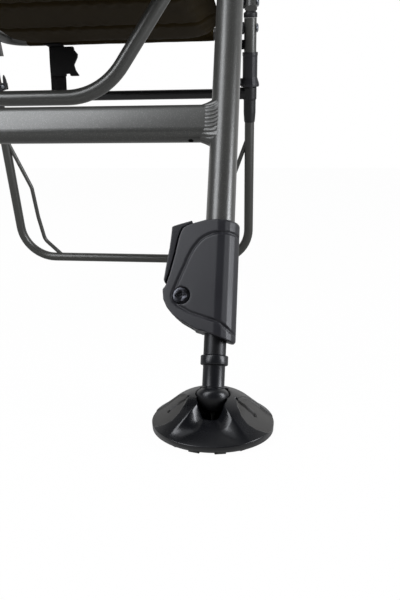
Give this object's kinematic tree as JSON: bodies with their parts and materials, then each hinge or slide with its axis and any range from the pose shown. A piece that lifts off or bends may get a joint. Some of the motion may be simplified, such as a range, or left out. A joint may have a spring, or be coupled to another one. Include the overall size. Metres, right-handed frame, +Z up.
{
  "type": "folding fishing chair",
  "caption": "Folding bankside chair with a padded seat and backrest, telescopic front legs on swivel mud feet, and a sliding U-shaped rear leg frame.",
  "frame": {"origin": "middle of the chair's bounding box, on the ground under the feet", "axes": "+Z up, -Y the way the seat faces, +X to the right for someone who stands in front and looks at the chair"},
  "size_m": [0.5884, 0.9151, 0.9999],
  "materials": {
    "coated_steel": "satin powder coat",
    "dark_steel": "satin powder coat",
    "clamp_plastic": "satin moulded plastic",
    "foot_plastic": "glossy moulded plastic",
    "black_nylon": "matte moulded nylon",
    "seat_cloth": "woven polyester",
    "black_webbing": "woven webbing",
    "zinc_steel": "zinc plated"
  },
  "bodies": {
    "seat": {"seat_frame": "coated_steel", "dropped_front_rail": "coated_steel", "seat_pad": "seat_cloth", "front_hinge_plate_left": "dark_steel", "front_hinge_plate_right": "dark_steel", "front_pivot_washer_left": "black_nylon", "front_pivot_washer_right": "black_nylon", "front_pivot_rivet_left": "zinc_steel", "front_pivot_rivet_right": "zinc_steel", "rear_hinge_plate_left": "dark_steel", "rear_hinge_plate_right": "dark_steel", "rear_pivot_washer_left": "black_nylon", "rear_pivot_washer_right": "black_nylon", "rear_pivot_rivet_left": "zinc_steel", "rear_pivot_rivet_right": "zinc_steel", "back_pivot_washer_left": "black_nylon", "back_pivot_washer_right": "black_nylon", "back_pivot_rivet_left": "zinc_steel", "back_pivot_rivet_right": "zinc_steel", "closing_strap": "black_webbing", "strap_buckle": "clamp_plastic"},
    "front_legs": {"front_leg_left": "coated_steel", "front_leg_right": "coated_steel", "front_leg_cap_left": "clamp_plastic", "front_leg_cap_right": "clamp_plastic", "front_clamp_housing_left": "clamp_plastic", "front_clamp_housing_right": "clamp_plastic", "front_clamp_screw_left": "dark_steel", "front_clamp_screw_right": "dark_steel", "front_crossbar": "coated_steel"},
    "front_lever_left": {"front_clamp_lever_left": "clamp_plastic"},
    "front_lever_right": {"front_clamp_lever_right": "clamp_plastic"},
    "front_inner_left": {"front_inner_leg_left": "dark_steel", "foot_stem_left": "clamp_plastic"},
    "front_inner_right": {"front_inner_leg_right": "dark_steel", "foot_stem_right": "clamp_plastic"},
    "foot_joint_left": {"foot_liner_left": "black_nylon"},
    "foot_joint_right": {"foot_liner_right": "black_nylon"},
    "foot_left": {"mud_foot_left": "foot_plastic"},
    "foot_right": {"mud_foot_right": "foot_plastic"},
    "rear_legs": {"rear_leg_left": "coated_steel", "rear_leg_right": "coated_steel", "rear_leg_cap_left": "clamp_plastic", "rear_leg_cap_right": "clamp_plastic", "rear_clamp_left": "clamp_plastic", "rear_clamp_right": "clamp_plastic", "rear_clamp_pin_left": "zinc_steel", "rear_clamp_pin_right": "zinc_steel"},
    "rear_lever_left": {"rear_clamp_lever_left": "clamp_plastic"},
    "rear_lever_right": {"rear_clamp_lever_right": "clamp_plastic"},
    "ground_frame": {"ground_bar": "dark_steel", "rear_crossbar": "dark_steel", "rear_tee_left": "black_nylon", "rear_tee_right": "black_nylon", "rear_stay_left": "dark_steel", "rear_stay_right": "dark_steel"},
    "backrest": {"back_frame": "coated_steel", "back_crossbar": "coated_steel", "back_pad": "seat_cloth"}
  },
  "joints": [
    {"name": "front_fold", "type": "hinge", "parent": "seat", "child": "front_legs", "pos_m": [0, -0.20911, 0.45769], "axis": [1, 0, 0], "range_deg": [0, 80]},
    {"name": "front_lever_left_turn", "type": "hinge", "parent": "front_legs", "child": "front_lever_left", "pos_m": [-0.216, -0.37507, 0.10178], "axis": [0, 0.9063, -0.4226], "range_deg": [0, 100]},
    {"name": "front_lever_right_turn", "type": "hinge", "parent": "front_legs", "child": "front_lever_right", "pos_m": [0.216, -0.37507, 0.10178], "axis": [0, -0.9063, 0.4226], "range_deg": [0, 100]},
    {"name": "front_slide_left", "type": "slide", "parent": "front_legs", "child": "front_inner_left", "axis": [0, 0.4226, 0.9063], "range_m": [-0.18, 0.011]},
    {"name": "front_slide_right", "type": "slide", "parent": "front_legs", "child": "front_inner_right", "axis": [0, 0.4226, 0.9063], "range_m": [-0.18, 0.011]},
    {"name": "foot_pitch_left", "type": "hinge", "parent": "front_inner_left", "child": "foot_joint_left", "pos_m": [-0.245, -0.40943, 0.0281], "axis": [1, 0, 0], "range_deg": [-50, 8]},
    {"name": "foot_pitch_right", "type": "hinge", "parent": "front_inner_right", "child": "foot_joint_right", "pos_m": [0.245, -0.40943, 0.0281], "axis": [1, 0, 0], "range_deg": [-50, 8]},
    {"name": "foot_rock_left", "type": "hinge", "parent": "foot_joint_left", "child": "foot_left", "pos_m": [-0.245, -0.40943, 0.0281], "axis": [0, 1, 0], "range_deg": [-8, 8]},
    {"name": "foot_rock_right", "type": "hinge", "parent": "foot_joint_right", "child": "foot_right", "pos_m": [0.245, -0.40943, 0.0281], "axis": [0, 1, 0], "range_deg": [-8, 8]},
    {"name": "rear_fold", "type": "hinge", "parent": "seat", "child": "rear_legs", "pos_m": [0, 0.23781, 0.44065], "axis": [1, 0, 0], "range_deg": [-80, 0]},
    {"name": "rear_lever_left_turn", "type": "hinge", "parent": "rear_legs", "child": "rear_lever_left", "pos_m": [-0.2265, 0.25777, 0.35422], "axis": [0, 0.9744, 0.225], "range_deg": [0, 100]},
    {"name": "rear_lever_right_turn", "type": "hinge", "parent": "rear_legs", "child": "rear_lever_right", "pos_m": [0.2265, 0.25777, 0.35422], "axis": [0, -0.9744, -0.225], "range_deg": [0, 100]},
    {"name": "rear_slide", "type": "slide", "parent": "rear_legs", "child": "ground_frame", "axis": [0, 0.225, -0.9744], "range_m": [0, 0.075]},
    {"name": "back_fold", "type": "hinge", "parent": "seat", "child": "backrest", "pos_m": [0, 0.24981, 0.48465], "axis": [1, 0, 0], "range_deg": [0, 88]}
  ]
}
